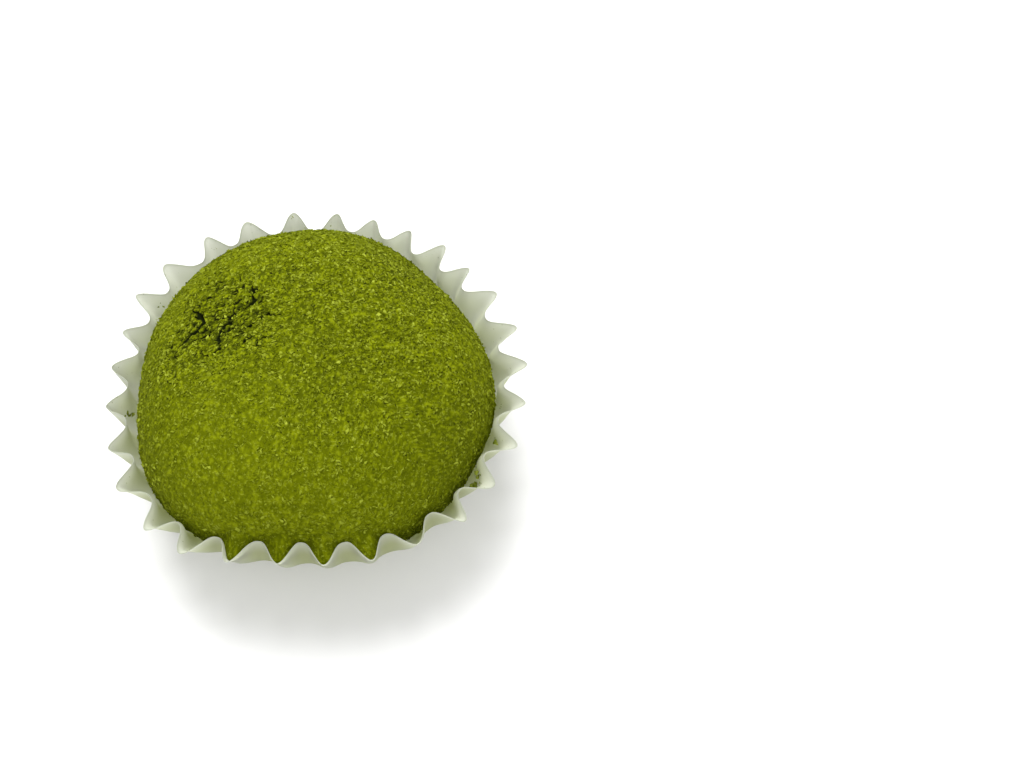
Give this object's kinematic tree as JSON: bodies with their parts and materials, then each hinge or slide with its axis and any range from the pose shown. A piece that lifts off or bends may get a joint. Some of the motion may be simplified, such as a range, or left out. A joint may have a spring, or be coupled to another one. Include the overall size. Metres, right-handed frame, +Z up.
{
  "type": "mochi rice cake",
  "caption": "Round soft rice cake dusted with green tea powder, sitting in a white fluted paper case.",
  "frame": {"origin": "middle of the paper case's flat base, on the surface that it stands on", "axes": "+Z up through the rice cake's top, +X to the right and +Y away, for someone who looks at its front"},
  "size_m": [0.0766, 0.0744, 0.0375],
  "materials": {
    "powdered_rice_cake": "soft rice dough coated with dry green tea powder, matt and finely grainy",
    "greaseproof_paper": "thin white greaseproof paper, matt and slightly translucent"
  },
  "bodies": {
    "root": {"rice_cake": "powdered_rice_cake", "paper_case": "greaseproof_paper"}
  },
  "joints": []
}
